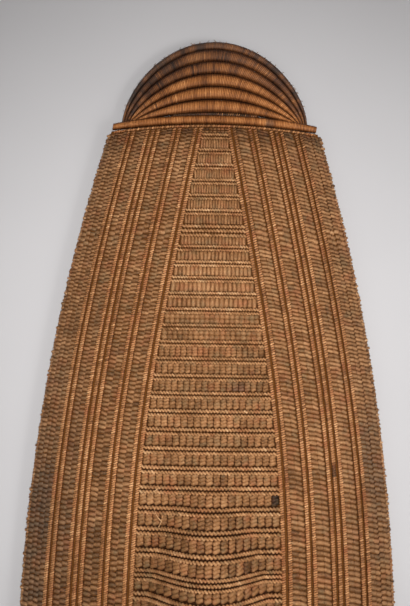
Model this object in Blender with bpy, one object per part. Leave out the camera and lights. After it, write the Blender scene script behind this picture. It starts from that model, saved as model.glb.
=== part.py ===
"""Woven raffia shield, lying on its back with its face up.

Metres, +Z up. The top end points to +Y, and the origin is on the floor under the middle of the shield.
A row of the weave is named by its height y on the shield's centre line; towards the ends the rows bow.
"""

import math

import bmesh
import bpy

# The woven panel, from the middle of the shield to the middle of an end bar
PANEL_HALF_LENGTH = 0.614
HALF_WIDTH_MIDDLE = 0.1965
HALF_WIDTH_END = 0.107
SIDE_CURVE = 2.08
PANEL_THICKNESS = 0.009
RIM_ROUND = 0.003
RIM_LAND = 0.005
CROWN_MIDDLE = 0.034
CROWN_END = 0.022
END_BOW = 0.005

# The centre field between the innermost ribs: its sides are straight near the ends and bend in the middle
FIELD_HALF_WIDTH = 0.0787
FIELD_TAPER = 0.202
FIELD_BEND_AT = 0.2835
FIELD_BEND_SPREAD = 0.0756
FIELD_COLUMNS = 6

# The tiers of the centre field: each is a raised pair of cords and the low weave below it.
# One tier near each end is longer, because it has a third cord
TIERS_PER_HALF = 32
END_TIER_SHARE = 0.66
TIER_CHANGE = 4.5
THREE_CORD_TIER = 6
THREE_CORD_SHARE = 0.25
END_STRIP = 0.009
CORD_PAIR_SHARE = 0.42
CORD_PAIR_HEIGHT = 0.0020
CORD_PAIR_SLOPE = 0.0012

# The long hollow boss that makes room for the hand
BOSS_HEIGHT = 0.068
BOSS_HALF_LENGTH = 0.260
BOSS_MARGIN = 0.004
BOSS_FULLNESS = 1.5

# The ribs, from the rim (0) to the edge of the centre field (1)
RIB_GROUPS = ((0.229, 0.284), (0.437, 0.495, 0.552), (0.720, 0.777), (0.940, 1.0))
RIB_WIDTH = 0.0046
RIB_HEIGHT = 0.0034
RIB_CREST = 0.0024

# The wrapped bar across each end and the thin cord that binds the weave to it
BAR_DIAMETER = 0.0100
BAR_TIP_DIAMETER = 0.0070
BAR_INSET = 0.001
BINDING_DIAMETER = 0.0028
BINDING_INSET = 0.0020

# The wrapped bows that fan out beyond each bar, from the outermost inwards
BOWS = 6
BOW_SPAN_INSET = 0.0106
BOW_TIP_STEP = 0.00265
FAN_RISE = 0.0857
RIM_BOW_WIDTH = 0.0094
BOW_WIDTH = 0.0138
OUTER_SHARPNESS = 1.25
SHARPNESS_STEP = 0.117
BOW_THICKNESS = 0.0100
BOW_TIP_THICKNESS = 0.0080

# The lacing that fills the slit between the innermost bow and the bar
LACING_THICKNESS = 0.0030
LACING_TIP = 0.0012

# The wooden grip behind the boss and the cane straps that hold it
GRIP_HALF_LENGTH = 0.230
GRIP_DIAMETER = 0.022
GRIP_TIP_DIAMETER = 0.016
GRIP_CLEARANCE = 0.0012
STRAP_INSET = 0.028
STRAP_WIDTH = 0.030
STRAP_THICKNESS = 0.0022

GAP = 0.0003
ROWS_PER_STATION = 4
FAN_SEGMENTS = 16
BAR_SEGMENTS = 10
TUBE_SIDES = 6
GRIP_SIDES = 12

PANEL_END = PANEL_HALF_LENGTH - BAR_DIAMETER / 2 - GAP
WEAVE_END = PANEL_END - END_STRIP
RIM_LEVEL = PANEL_THICKNESS / 2

ENDS = {"top": 1, "bottom": -1}
SIDES = {"left": -1, "right": 1}


def clear_scene():
    for item in list(bpy.data.objects):
        bpy.data.objects.remove(item)


def make_material(name, colour, roughness):
    material = bpy.data.materials.new(name)
    material.use_nodes = True
    shader = material.node_tree.nodes["Principled BSDF"]
    shader.inputs["Base Color"].default_value = (*colour, 1.0)
    shader.inputs["Roughness"].default_value = roughness
    shader.inputs["Metallic"].default_value = 0.0
    return material


def half_width(y):
    """Half the width of the panel at row y."""
    share = abs(y) / PANEL_HALF_LENGTH
    return HALF_WIDTH_MIDDLE - (HALF_WIDTH_MIDDLE - HALF_WIDTH_END) * share**SIDE_CURVE


def field_half_width(y):
    """Half the width of the centre field, to the middle of its edge rib."""
    bend = math.log1p(math.exp((abs(y) - FIELD_BEND_AT) / FIELD_BEND_SPREAD))
    return FIELD_HALF_WIDTH - FIELD_TAPER * FIELD_BEND_SPREAD * bend


def field_edge(y):
    """The low weave of the centre field stops beside its edge rib."""
    return field_half_width(y) - RIB_WIDTH / 2


def rib_x(share, y):
    """Distance of a rib from the centre line at row y."""
    return half_width(y) - share * (half_width(y) - field_half_width(y))


def crown(y):
    share = y / PANEL_HALF_LENGTH
    return CROWN_MIDDLE - (CROWN_MIDDLE - CROWN_END) * share * share


def boss(x, y):
    half = field_edge(0) - BOSS_MARGIN
    inside = 1 - (x / half) ** 2 - (y / BOSS_HALF_LENGTH) ** 2
    return BOSS_HEIGHT * max(0.0, inside) ** BOSS_FULLNESS


def underside(x, y):
    return crown(y) * (1 - (x / half_width(y)) ** 2) + boss(x, y)


def face(x, y):
    return PANEL_THICKNESS + underside(x, y)


def bowed(x, y):
    """The real y of the point at x on row y."""
    return y - END_BOW * (y / PANEL_END) ** 3 * (x / half_width(y)) ** 2


def tier_rows():
    """The rows where tiers meet, from the bottom end to the top end; the tiers shrink towards both ends."""
    ends = [0.0]
    for k in range(TIERS_PER_HALF):
        fullness = (1 - (k / TIERS_PER_HALF) ** 2) ** TIER_CHANGE
        third_cord = THREE_CORD_SHARE if k == TIERS_PER_HALF - 1 - THREE_CORD_TIER else 0.0
        ends.append(ends[-1] + END_TIER_SHARE + (1 - END_TIER_SHARE) * fullness + third_cord)
    upper = [WEAVE_END * end / ends[-1] for end in ends]
    return [-y for y in reversed(upper[1:])] + upper


def finish_object(name, mesh_builder, material):
    """One closed body with its faces pointing out."""
    bmesh.ops.recalc_face_normals(mesh_builder, faces=mesh_builder.faces)
    mesh = bpy.data.meshes.new(name)
    mesh_builder.to_mesh(mesh)
    mesh_builder.free()
    mesh.materials.append(material)
    mesh.shade_smooth()
    mesh.set_sharp_from_angle(angle=math.radians(40))
    piece = bpy.data.objects.new(name, mesh)
    bpy.context.scene.collection.objects.link(piece)
    return piece


def loft(name, rings, material):
    """A closed body through rings of points, with a flat cap on each end ring."""
    builder = bmesh.new()
    loops = [[builder.verts.new(point) for point in ring] for ring in rings]
    count = len(loops[0])
    for near, far in zip(loops, loops[1:]):
        for i in range(count):
            j = (i + 1) % count
            builder.faces.new((near[i], near[j], far[j], far[i]))
    builder.faces.new(loops[0])
    builder.faces.new(loops[-1])
    return finish_object(name, builder, material)


def flat_sided_ring(centre, across, half_across, half_height):
    """A ring of TUBE_SIDES points with flat top and bottom sides, across a level direction."""
    tall = half_height / math.cos(math.pi / TUBE_SIDES)
    ring = []
    for i in range(TUBE_SIDES):
        turn = 2 * math.pi * i / TUBE_SIDES
        side = half_across * math.cos(turn)
        up = tall * math.sin(turn)
        ring.append((centre[0] + across[0] * side, centre[1] + across[1] * side, centre[2] + up))
    return ring


def field_xs(y):
    return [field_edge(y) * (2 * i / FIELD_COLUMNS - 1) for i in range(FIELD_COLUMNS + 1)]


def side_xs(y):
    """The columns of one side, from the rim inwards: the rim's land and the middle of each rib group."""
    rim = half_width(y) - RIM_ROUND
    middles = [rib_x((group[0] + group[-1]) / 2, y) for group in RIB_GROUPS]
    return [rim, rim - RIM_LAND, *middles]


class Sheet:
    """One skin of the panel: coarse rows at the sides, fine rows across the centre field."""

    def __init__(self, builder, stations, rows, side_height, field_height):
        self.builder = builder
        self.stations = stations
        self.rows = rows
        self.sides = {
            side: [
                [self.point(side * x, y, side_height(i, side * x, y)) for i, x in enumerate(side_xs(y))]
                for y in stations
            ]
            for side in SIDES.values()
        }
        self.field = [
            [self.point(x, y, field_height(i, x, y, kind)) for i, x in enumerate(field_xs(y))]
            for y, kind in rows
        ]

    def point(self, x, y, z):
        return self.builder.verts.new((x, bowed(x, y), z))

    def fill(self):
        for column in self.sides.values():
            for near, far in zip(column, column[1:]):
                for i in range(len(near) - 1):
                    self.builder.faces.new((near[i], near[i + 1], far[i + 1], far[i]))
        for near, far in zip(self.field, self.field[1:]):
            for i in range(FIELD_COLUMNS):
                self.builder.faces.new((near[i], near[i + 1], far[i + 1], far[i]))
        for side in SIDES.values():
            self.join_side(side)

    def join_side(self, side):
        """Fans of triangles between the last side column and the fine rows of the centre field."""
        inner = -1 if side > 0 else 0
        row_ys = [y for y, _ in self.rows]
        for k in range(len(self.stations) - 1):
            first = row_ys.index(self.stations[k])
            last = row_ys.index(self.stations[k + 1])
            edge = [self.field[r][inner] for r in range(first, last + 1)]
            near, far = self.sides[side][k][-1], self.sides[side][k + 1][-1]
            turn = len(edge) // 2
            for i in range(turn):
                self.builder.faces.new((near, edge[i], edge[i + 1]))
            self.builder.faces.new((near, edge[turn], far))
            for i in range(turn, len(edge) - 1):
                self.builder.faces.new((far, edge[i], edge[i + 1]))

    def end_row(self, k):
        """All points across the panel at its first (0) or last (-1) row, from left to right."""
        return [*self.sides[-1][k], *self.field[k], *reversed(self.sides[1][k])]


def face_rows(tiers):
    """Rows of the face: each tier has a low row, and the two crest rows of its raised pair of cords."""
    rows = [(-PANEL_END, "low")]
    for low, high in zip(tiers, tiers[1:]):
        pitch = high - low
        crest_end = high - CORD_PAIR_SLOPE
        crest_start = high - CORD_PAIR_SHARE * pitch
        rows += [(low, "low"), (crest_start, "crest"), (crest_end, "crest")]
    return rows + [(tiers[-1], "low"), (PANEL_END, "low")]


def make_panel(material):
    """The woven panel: one thin arched body with the boss and the raised tiers of the centre field."""
    tiers = tier_rows()
    stations = [-PANEL_END, *tiers[::ROWS_PER_STATION], PANEL_END]
    builder = bmesh.new()

    def face_side(i, x, y):
        return face(x, y)

    def face_field(i, x, y, kind):
        raised = kind == "crest" and 0 < i < FIELD_COLUMNS
        return face(x, y) + (CORD_PAIR_HEIGHT if raised else 0.0)

    def back_side(i, x, y):
        return 0.0 if i < 2 else underside(x, y)

    def back_field(i, x, y, kind):
        return underside(x, y)

    front = Sheet(builder, stations, face_rows(tiers), face_side, face_field)
    back_tiers = tiers[:: ROWS_PER_STATION // 2]
    back_rows = [(y, "low") for y in (-PANEL_END, *back_tiers, PANEL_END)]
    back = Sheet(builder, stations, back_rows, back_side, back_field)
    front.fill()
    back.fill()

    rims = {
        side: [
            builder.verts.new((side * half_width(y), bowed(half_width(y), y), RIM_LEVEL)) for y in stations
        ]
        for side in SIDES.values()
    }
    for side, rim in rims.items():
        for k in range(len(stations) - 1):
            for sheet in (front, back):
                edge = [row[0] for row in sheet.sides[side]]
                builder.faces.new((edge[k], edge[k + 1], rim[k + 1], rim[k]))
    for k in (0, -1):
        upper, lower = front.end_row(k), back.end_row(k)
        for i in range(len(upper) - 1):
            builder.faces.new((upper[i], upper[i + 1], lower[i + 1], lower[i]))
        builder.faces.new((upper[0], lower[0], rims[-1][k]))
        builder.faces.new((upper[-1], lower[-1], rims[1][k]))
    return finish_object("woven_panel", builder, material)


def make_ribs(material):
    """The long twisted cords in pairs and threes, which follow the sides of the shield."""
    last = PANEL_END - BINDING_INSET - BINDING_DIAMETER / 2 - GAP
    stations = [-last, *tier_rows()[ROWS_PER_STATION:-ROWS_PER_STATION:ROWS_PER_STATION], last]
    shares = [share for group in RIB_GROUPS for share in group]
    for side_name, side in SIDES.items():
        for number, share in enumerate(shares, 1):
            rings = []
            for y in stations:
                x = side * rib_x(share, y)
                level = face(x, y) + GAP
                slope = (face(x + RIB_WIDTH, y) - face(x - RIB_WIDTH, y)) / (2 * RIB_WIDTH)
                profile = (
                    (-RIB_WIDTH / 2, 0.0),
                    (RIB_WIDTH / 2, 0.0),
                    (RIB_CREST / 2, RIB_HEIGHT),
                    (-RIB_CREST / 2, RIB_HEIGHT),
                )
                rings.append([(x + dx, bowed(x, y), level + slope * dx + dz) for dx, dz in profile])
            loft(f"rib_{side_name}_{number}", rings, material)


def bar_y(x):
    return PANEL_HALF_LENGTH - END_BOW * (x / HALF_WIDTH_END) ** 2


def bar_level(x):
    """Height of the bar's middle line, which follows the arch of the panel's end."""
    return BAR_DIAMETER / 2 + GAP + CROWN_END * (1 - (x / HALF_WIDTH_END) ** 2)


def bar_half_length():
    return HALF_WIDTH_END - BAR_INSET


def bar_radius(x):
    share = abs(x) / bar_half_length()
    return BAR_DIAMETER / 2 - (BAR_DIAMETER - BAR_TIP_DIAMETER) / 2 * share**4


def above_bar(x):
    """The y just clear of the bar's outer edge, where a bow starts."""
    return bar_y(x) + bar_radius(x) + GAP


def make_bar(end_name, end, material):
    steps = BAR_SEGMENTS // 2
    rings = []
    for i in range(2 * steps + 1):
        x = bar_half_length() * (i / steps - 1)
        centre = (x, end * bar_y(x), bar_level(x))
        radius = bar_radius(x)
        rings.append(flat_sided_ring(centre, (0.0, 1.0), radius * 0.99, radius))
    loft(f"{end_name}_bar", rings, material)


def make_binding(end_name, end, material):
    """The thin cord that lies across the face beside the bar."""
    row = PANEL_END - BINDING_INSET
    half = half_width(row) - RIM_ROUND - BINDING_DIAMETER
    steps = BAR_SEGMENTS // 2
    rings = []
    for i in range(2 * steps + 1):
        x = half * (i / steps - 1)
        centre = (x, end * bowed(x, row), face(x, row) + GAP + BINDING_DIAMETER / 2)
        rings.append(flat_sided_ring(centre, (0.0, 1.0), BINDING_DIAMETER / 2, BINDING_DIAMETER / 2))
    loft(f"{end_name}_binding_cord", rings, material)


def fan_line(j, turn):
    """The line between two bows; line 0 is the outside. Sharpness 1 is a half ellipse, 2 a parabola."""
    span = HALF_WIDTH_END - BOW_SPAN_INSET - BOW_TIP_STEP * j
    rise = FAN_RISE - (RIM_BOW_WIDTH + BOW_WIDTH * (j - 1) if j else 0.0)
    sharpness = OUTER_SHARPNESS + SHARPNESS_STEP * j
    return span * math.cos(turn), PANEL_HALF_LENGTH + rise * math.sin(turn) ** sharpness


def bow_centre(k, turn):
    outer, inner = fan_line(k, turn), fan_line(k + 1, turn)
    return (outer[0] + inner[0]) / 2, (outer[1] + inner[1]) / 2


def fan_level(k, x):
    """Height of a bow's middle line: the outermost lies low, the inner ones rise to the arch of the bar."""
    share = (bow_centre(k, math.pi / 2)[1] - PANEL_HALF_LENGTH) / FAN_RISE
    outermost = (bow_centre(0, math.pi / 2)[1] - PANEL_HALF_LENGTH) / FAN_RISE
    arch = 1 - (x / HALF_WIDTH_END) ** 2
    return BOW_THICKNESS / 2 + CROWN_END * arch * (1 - (share / outermost) ** 2)


def bow_start(k):
    """The turn at which a bow comes out above the bar, found by halving."""
    low, high = 0.0, math.pi / 2
    for _ in range(40):
        turn = (low + high) / 2
        x, y = bow_centre(k, turn)
        if y < above_bar(x):
            low = turn
        else:
            high = turn
    return high


def make_bow(end_name, end, k, material):
    start = bow_start(k)
    step = math.pi / FAN_SEGMENTS
    between = [step * i for i in range(FAN_SEGMENTS + 1)]
    middle = [t for t in between if start + step / 3 < t < math.pi - start - step / 3]
    turns = [start, *middle, math.pi - start]
    rings = []
    for turn in turns:
        outer, inner = fan_line(k, turn), fan_line(k + 1, turn)
        x, y = bow_centre(k, turn)
        ahead, behind = bow_centre(k, turn + 0.001), bow_centre(k, turn - 0.001)
        run = (ahead[0] - behind[0], ahead[1] - behind[1])
        length = math.hypot(*run)
        out = (run[1] / length, -run[0] / length)
        half = ((outer[0] - inner[0]) * out[0] + (outer[1] - inner[1]) * out[1]) / 2 - GAP
        half_height = (BOW_TIP_THICKNESS + (BOW_THICKNESS - BOW_TIP_THICKNESS) * math.sin(turn)) / 2
        ring = flat_sided_ring((x, y, fan_level(k, x)), out, half, half_height)
        rings.append([(px, end * max(py, above_bar(px)), pz) for px, py, pz in ring])
    loft(f"{end_name}_bow_{k + 1}", rings, material)


def fan_line_y(j, x):
    """The y of a line of the fan at x."""
    sharpness = OUTER_SHARPNESS + SHARPNESS_STEP * j
    span, _ = fan_line(j, 0.0)
    _, top = fan_line(j, math.pi / 2)
    share = max(0.0, 1 - (x / span) ** 2)
    return PANEL_HALF_LENGTH + (top - PANEL_HALF_LENGTH) * share ** (sharpness / 2)


def slit_height(x):
    return fan_line_y(BOWS, x) - above_bar(x)


def make_lacing(end_name, end, material):
    """The dark lacing between the innermost bow and the bar, out to where the slit closes."""
    near, far = 0.0, bar_half_length()
    for _ in range(40):
        half = (near + far) / 2
        near, far = (half, far) if slit_height(half) > LACING_TIP else (near, half)
    steps = BAR_SEGMENTS // 2
    rings = []
    for i in range(2 * steps + 1):
        x = near * (i / steps - 1)
        low, high = above_bar(x), fan_line_y(BOWS, x)
        level = fan_level(BOWS - 1, x)
        corners = ((low, -1), (high, -1), (high, 1), (low, 1))
        rings.append([(x, end * y, level + up * LACING_THICKNESS / 2) for y, up in corners])
    loft(f"{end_name}_lacing", rings, material)


def grip_level():
    """Height of the grip's middle line: its tips just clear the back of the panel."""
    return underside(0.0, GRIP_HALF_LENGTH) - GRIP_CLEARANCE - GRIP_TIP_DIAMETER / 2


def grip_radius(y):
    share = min(1.0, abs(y) / GRIP_HALF_LENGTH)
    return GRIP_DIAMETER / 2 - (GRIP_DIAMETER - GRIP_TIP_DIAMETER) / 2 * share**3


def make_grip(material):
    level = grip_level()
    places = (-1.0, -0.85, -0.6, -0.3, 0.3, 0.6, 0.85, 1.0)
    rings = []
    for place in places:
        y = place * GRIP_HALF_LENGTH
        radius = grip_radius(y)
        turns = [2 * math.pi * i / GRIP_SIDES for i in range(GRIP_SIDES)]
        rings.append([(radius * math.cos(t), y, level + radius * math.sin(t)) for t in turns])
    loft("grip", rings, material)


def back_level(x, y):
    """Height of the panel's faceted back, between two columns of its field."""
    half = field_edge(y)
    step = 2 * half / FIELD_COLUMNS
    column = math.floor((x + half) / step)
    near, far = column * step - half, (column + 1) * step - half
    share = (x - near) / step
    return underside(near, y) * (1 - share) + underside(far, y) * share


def make_strap(end_name, end, material):
    """A band of cane under the grip whose two legs reach up to the back of the panel."""
    level = grip_level()
    strap_at = GRIP_HALF_LENGTH - STRAP_INSET
    inner = grip_radius(strap_at - STRAP_WIDTH / 2) + GAP
    inner /= math.cos(math.pi / GRIP_SIDES)
    outer = inner + STRAP_THICKNESS
    rings = []
    for edge in (-1, 1):
        y = end * (strap_at + edge * STRAP_WIDTH / 2)
        turns = [math.pi + math.pi * i / 6 for i in range(7)]
        around_outer = [(outer * math.cos(t), y, level + outer * math.sin(t)) for t in turns]
        around_inner = [(inner * math.cos(t), y, level + inner * math.sin(t)) for t in turns]
        leg = back_level(outer, y) - GRIP_CLEARANCE
        outline = [(-outer, y, leg), *around_outer, (outer, y, leg), (inner, y, leg)]
        rings.append([*outline, *reversed(around_inner), (-inner, y, leg)])
    loft(f"grip_strap_{end_name}", rings, material)


def main():
    clear_scene()
    weave = make_material("raffia_weave", (0.30, 0.15, 0.065), 0.62)
    cord = make_material("twisted_cord", (0.42, 0.20, 0.080), 0.55)
    wrapped = make_material("wrapped_cane", (0.24, 0.10, 0.038), 0.48)
    wood = make_material("grip_wood", (0.16, 0.075, 0.032), 0.50)

    make_panel(weave)
    make_ribs(cord)
    for end_name, end in ENDS.items():
        make_bar(end_name, end, wrapped)
        make_binding(end_name, end, cord)
        for k in range(BOWS):
            make_bow(end_name, end, k, wrapped)
        make_lacing(end_name, end, cord)
        make_strap(end_name, end, cord)
    make_grip(wood)


main()
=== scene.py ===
"""The looks of the woven raffia shield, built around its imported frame.

Metres, in the frame's own axes: the shield lies face up, its top end points to +Y and the floor is z = 0.
A place on the weave is given by x and by its row, the y that the row has on the shield's centre line.
"""

import math

import bpy
import numpy as np
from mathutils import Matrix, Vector


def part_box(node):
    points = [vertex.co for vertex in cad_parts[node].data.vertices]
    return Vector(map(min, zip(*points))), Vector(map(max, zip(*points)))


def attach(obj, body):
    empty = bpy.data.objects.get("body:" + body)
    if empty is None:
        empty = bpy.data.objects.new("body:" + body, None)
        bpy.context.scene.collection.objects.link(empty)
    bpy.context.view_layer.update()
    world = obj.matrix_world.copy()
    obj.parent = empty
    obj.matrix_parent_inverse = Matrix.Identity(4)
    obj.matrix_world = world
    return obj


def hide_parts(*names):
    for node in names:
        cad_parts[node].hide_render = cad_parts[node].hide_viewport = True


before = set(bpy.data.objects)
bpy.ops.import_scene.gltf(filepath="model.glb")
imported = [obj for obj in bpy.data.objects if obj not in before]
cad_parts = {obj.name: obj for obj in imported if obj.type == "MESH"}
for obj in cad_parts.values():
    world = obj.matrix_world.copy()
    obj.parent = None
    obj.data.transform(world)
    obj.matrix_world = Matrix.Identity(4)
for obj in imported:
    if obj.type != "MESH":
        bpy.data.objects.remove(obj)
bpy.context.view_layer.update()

# The woven panel, as in the solids
PANEL_HALF_LENGTH = 0.614
HALF_WIDTH_MIDDLE = 0.1965
HALF_WIDTH_END = 0.107
SIDE_CURVE = 2.08
PANEL_THICKNESS = 0.009
CROWN_MIDDLE = 0.034
CROWN_END = 0.022
END_BOW = 0.005
FIELD_HALF_WIDTH = 0.0787
FIELD_TAPER = 0.202
FIELD_BEND_AT = 0.2835
FIELD_BEND_SPREAD = 0.0756
TIERS_PER_HALF = 32
END_TIER_SHARE = 0.66
TIER_CHANGE = 4.5
THREE_CORD_TIER = 6
THREE_CORD_SHARE = 0.25
END_STRIP = 0.009
BOSS_HEIGHT = 0.068
BOSS_HALF_LENGTH = 0.260
BOSS_MARGIN = 0.004
BOSS_FULLNESS = 1.5

# The ribs, bars, binding cords and bows, as in the solids
RIB_GROUPS = ((0.229, 0.284), (0.437, 0.495, 0.552), (0.720, 0.777), (0.940, 1.0))
RIB_WIDTH = 0.0046
BAR_DIAMETER = 0.0100
BAR_TIP_DIAMETER = 0.0070
BAR_INSET = 0.001
BINDING_DIAMETER = 0.0028
BINDING_INSET = 0.0020
BOWS = 6
BOW_SPAN_INSET = 0.0106
BOW_TIP_STEP = 0.00265
FAN_RISE = 0.0857
RIM_BOW_WIDTH = 0.0094
BOW_WIDTH = 0.0138
OUTER_SHARPNESS = 1.25
SHARPNESS_STEP = 0.117
BOW_THICKNESS = 0.0100
BOW_TIP_THICKNESS = 0.0080
GRIP_HALF_LENGTH = 0.230
GRIP_DIAMETER = 0.022
GRIP_TIP_DIAMETER = 0.016
GRIP_CLEARANCE = 0.0012
STRAP_INSET = 0.028
STRAP_WIDTH = 0.030
STRAP_THICKNESS = 0.0022
GAP = 0.0003

PANEL_END = PANEL_HALF_LENGTH - BAR_DIAMETER / 2 - GAP
WEAVE_END = PANEL_END - END_STRIP
FIELD_SIDE = RIB_WIDTH / 2

# The stitches
RIB_STITCH_PITCH = 0.0024
RIB_ACROSS = 0.0050
RIB_STITCH_GIRTH = (0.0023, 0.0044)
RIB_CORE = (0.0020, 0.0010)
RIB_SPREAD = 0.118
RIB_SLANT = {"left": math.radians(-61), "right": math.radians(-75)}
RIB_CENTRE = 0.0015
CORD_PITCH = 0.0033
CORD_STITCH = (0.0055, 0.0031, 0.0040)
CORD_SLANT = math.radians(-38)
CORD_LIFT = 0.0018
CORD_FROM_TOP = 0.36
CORD_RAISE = 0.0039
CORD_SPACING = 0.25
CORD_TIER = 0.0190
TRIPLE_SHARE = 0.86
# Darkening beside the end bars: dirt and painted shade.
END_SHADE = 0.18
END_DARK_FROM = 0.570
END_DARK_REACH = 0.035
COLUMNS = 19
NARROWEST_COLUMN = 0.0026
UPRIGHT_BELOW = 0.0050
BLOCK_STITCH_PITCH = 0.0038
DIRTY_RIM = {"left": 0.200, "right": 0.270}
FIELD_STAIN = (0.028, 0.339)
BLOCK_SLANT = math.radians(24)
ACROSS_STEP = (0.0004, 0.0)
ALONG_STEP = (0.0, 0.0004)
ROWS_PER_TIER = 4
BAND_STITCH_HEIGHT = 0.0030
SELVEDGE_PITCH = 0.0032
WRAP_PITCH = 0.0017

# The view of the photograph
CAMERA_AT = (-0.0072, 0.427, 1.0)
CAMERA_ROLL = math.radians(0.9)
LENS = 56.6
SENSOR = 36.0

ENDS = {"top": 1, "bottom": -1}
SIDES = {"left": -1, "right": 1}

chance = np.random.default_rng(7)


def unit(vectors):
    return vectors / np.linalg.norm(vectors, axis=-1, keepdims=True)


def half_width(row):
    share = np.abs(row) / PANEL_HALF_LENGTH
    return HALF_WIDTH_MIDDLE - (HALF_WIDTH_MIDDLE - HALF_WIDTH_END) * share**SIDE_CURVE


def field_half_width(row):
    bend = np.log1p(np.exp((np.abs(row) - FIELD_BEND_AT) / FIELD_BEND_SPREAD))
    return FIELD_HALF_WIDTH - FIELD_TAPER * FIELD_BEND_SPREAD * bend


def rib_x(share, row):
    return half_width(row) - share * (half_width(row) - field_half_width(row))


def crown(row):
    return CROWN_MIDDLE - (CROWN_MIDDLE - CROWN_END) * (row / PANEL_HALF_LENGTH) ** 2


def boss(x, row):
    half = field_half_width(0.0) - FIELD_SIDE - BOSS_MARGIN
    inside = 1 - (x / half) ** 2 - (row / BOSS_HALF_LENGTH) ** 2
    return BOSS_HEIGHT * np.maximum(0.0, inside) ** BOSS_FULLNESS


def back_height(x, row):
    return crown(row) * (1 - (x / half_width(row)) ** 2) + boss(x, row)


def bowed(x, row):
    return row - END_BOW * (row / PANEL_END) ** 3 * (x / half_width(row)) ** 2


def on_back(x, row):
    return np.stack([x, bowed(x, row), back_height(x, row)], axis=-1)


def on_face(x, row):
    return np.stack([x, bowed(x, row), PANEL_THICKNESS + back_height(x, row)], axis=-1)


def directions(surface, x, row):
    """Places on a surface with their crosswise, lengthwise and upward directions."""
    step = 0.0004
    across = unit(surface(x + step, row) - surface(x - step, row))
    along = surface(x, row + step) - surface(x, row - step)
    up = unit(np.cross(across, along))
    return surface(x, row), across, np.cross(up, across), up


def stretch(surface, x, row, step):
    """How much longer a surface is than its plan at a place, in the direction of a small step."""
    span = surface(x + step[0], row + step[1]) - surface(x - step[0], row - step[1])
    return np.linalg.norm(span, axis=-1) / (2 * math.hypot(*step))


def tier_rows():
    """The rows where tiers meet, from the bottom end to the top end."""
    ends = [0.0]
    for k in range(TIERS_PER_HALF):
        fullness = (1 - (k / TIERS_PER_HALF) ** 2) ** TIER_CHANGE
        third_cord = THREE_CORD_SHARE if k == TIERS_PER_HALF - 1 - THREE_CORD_TIER else 0.0
        ends.append(ends[-1] + END_TIER_SHARE + (1 - END_TIER_SHARE) * fullness + third_cord)
    upper = [WEAVE_END * end / ends[-1] for end in ends]
    return np.array([-row for row in reversed(upper[1:])] + upper)


TIERS = tier_rows()


def set_inputs(tree, node, inputs):
    """Each input, named or counted, takes a value or another node's output socket."""
    for key, value in inputs.items():
        if isinstance(key, str):
            socket = next(s for s in node.inputs if s.name == key and s.enabled)
        else:
            socket = node.inputs[key]
        if isinstance(value, bpy.types.NodeSocket):
            tree.links.new(value, socket)
        else:
            socket.default_value = value


def add_node(tree, kind, inputs=None, **settings):
    node = tree.nodes.new(kind)
    for name, value in settings.items():
        setattr(node, name, value)
    set_inputs(tree, node, inputs or {})
    return node


def out(node, name=None):
    """A node's output socket, by name or the first in use."""
    return next(s for s in node.outputs if s.enabled and name in (None, s.name))


def maths(tree, operation, first, second=0.0, third=0.0):
    return out(add_node(tree, "ShaderNodeMath", {0: first, 1: second, 2: third}, operation=operation))


def blend_colour(tree, mode, factor, first, second):
    node = add_node(tree, "ShaderNodeMix", data_type="RGBA", blend_type=mode)
    set_inputs(tree, node, {"Factor": factor, "A": first, "B": second})
    return out(node)


def noise(tree, place, scale, detail=2.0):
    inputs = {"Vector": place, "Scale": scale, "Detail": detail}
    return out(add_node(tree, "ShaderNodeTexNoise", inputs), "Fac")


def object_place(tree):
    return out(add_node(tree, "ShaderNodeTexCoord"), "Object")


def scaled(tree, vector, factors):
    return out(add_node(tree, "ShaderNodeVectorMath", {0: vector, 1: factors}, operation="MULTIPLY"))


def spots(tree, place, scale, low, high):
    """Scattered spots: nothing below the low value of a noise, full above the high one."""
    inputs = {"Value": noise(tree, place, scale), "From Min": low, "From Max": high}
    return out(add_node(tree, "ShaderNodeMapRange", inputs))


def swing(tree, value, amount):
    """A pattern from 0 to 1, turned into a change to either side of nothing."""
    return maths(tree, "MULTIPLY", maths(tree, "SUBTRACT", value, 0.5), amount)


def shade_ramp(tree, value, shades):
    node = add_node(tree, "ShaderNodeValToRGB", {"Fac": value})
    stops = node.color_ramp.elements
    while len(stops) < len(shades):
        stops.new(0.5)
    for stop, (place, colour) in zip(stops, shades):
        stop.position = place
        stop.color = (*colour, 1.0)
    return out(node, "Color")


def attribute(tree, name, output):
    return out(add_node(tree, "ShaderNodeAttribute", attribute_name=name), output)


def new_finish(name, roughness, specular):
    material = bpy.data.materials.new(name)
    material.use_nodes = True
    shader = material.node_tree.nodes["Principled BSDF"]
    shader.inputs["Roughness"].default_value = roughness
    shader.inputs["Specular IOR Level"].default_value = specular
    return material, material.node_tree, shader


def paint_depth_shade(tree, shader, grain, colour, shades):
    """Sets the base colour, with painted shade low on each stitch or turn and a painted highlight where a stop
    passes 1.
    """
    height = out(add_node(tree, "ShaderNodeSeparateXYZ", {"Vector": grain}), "Z")
    depth = shade_ramp(tree, height, shades)
    tree.links.new(blend_colour(tree, "MULTIPLY", 1.0, colour, depth), shader.inputs["Base Color"])


def set_relief(tree, shader, height, distance, strength=0.6):
    bump = add_node(tree, "ShaderNodeBump", {"Height": height, "Distance": distance, "Strength": strength})
    tree.links.new(out(bump), shader.inputs["Normal"])


RAFFIA_SHADES = (
    (0.00, (0.021, 0.009, 0.003)),
    (0.25, (0.130, 0.052, 0.014)),
    (0.50, (0.315, 0.142, 0.051)),
    (0.75, (0.510, 0.252, 0.105)),
    (1.00, (0.720, 0.425, 0.215)),
)
GRIME = (0.110, 0.075, 0.050, 1.0)
RUST = (0.370, 0.110, 0.040, 1.0)
OLIVE = (0.190, 0.150, 0.075, 1.0)


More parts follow.
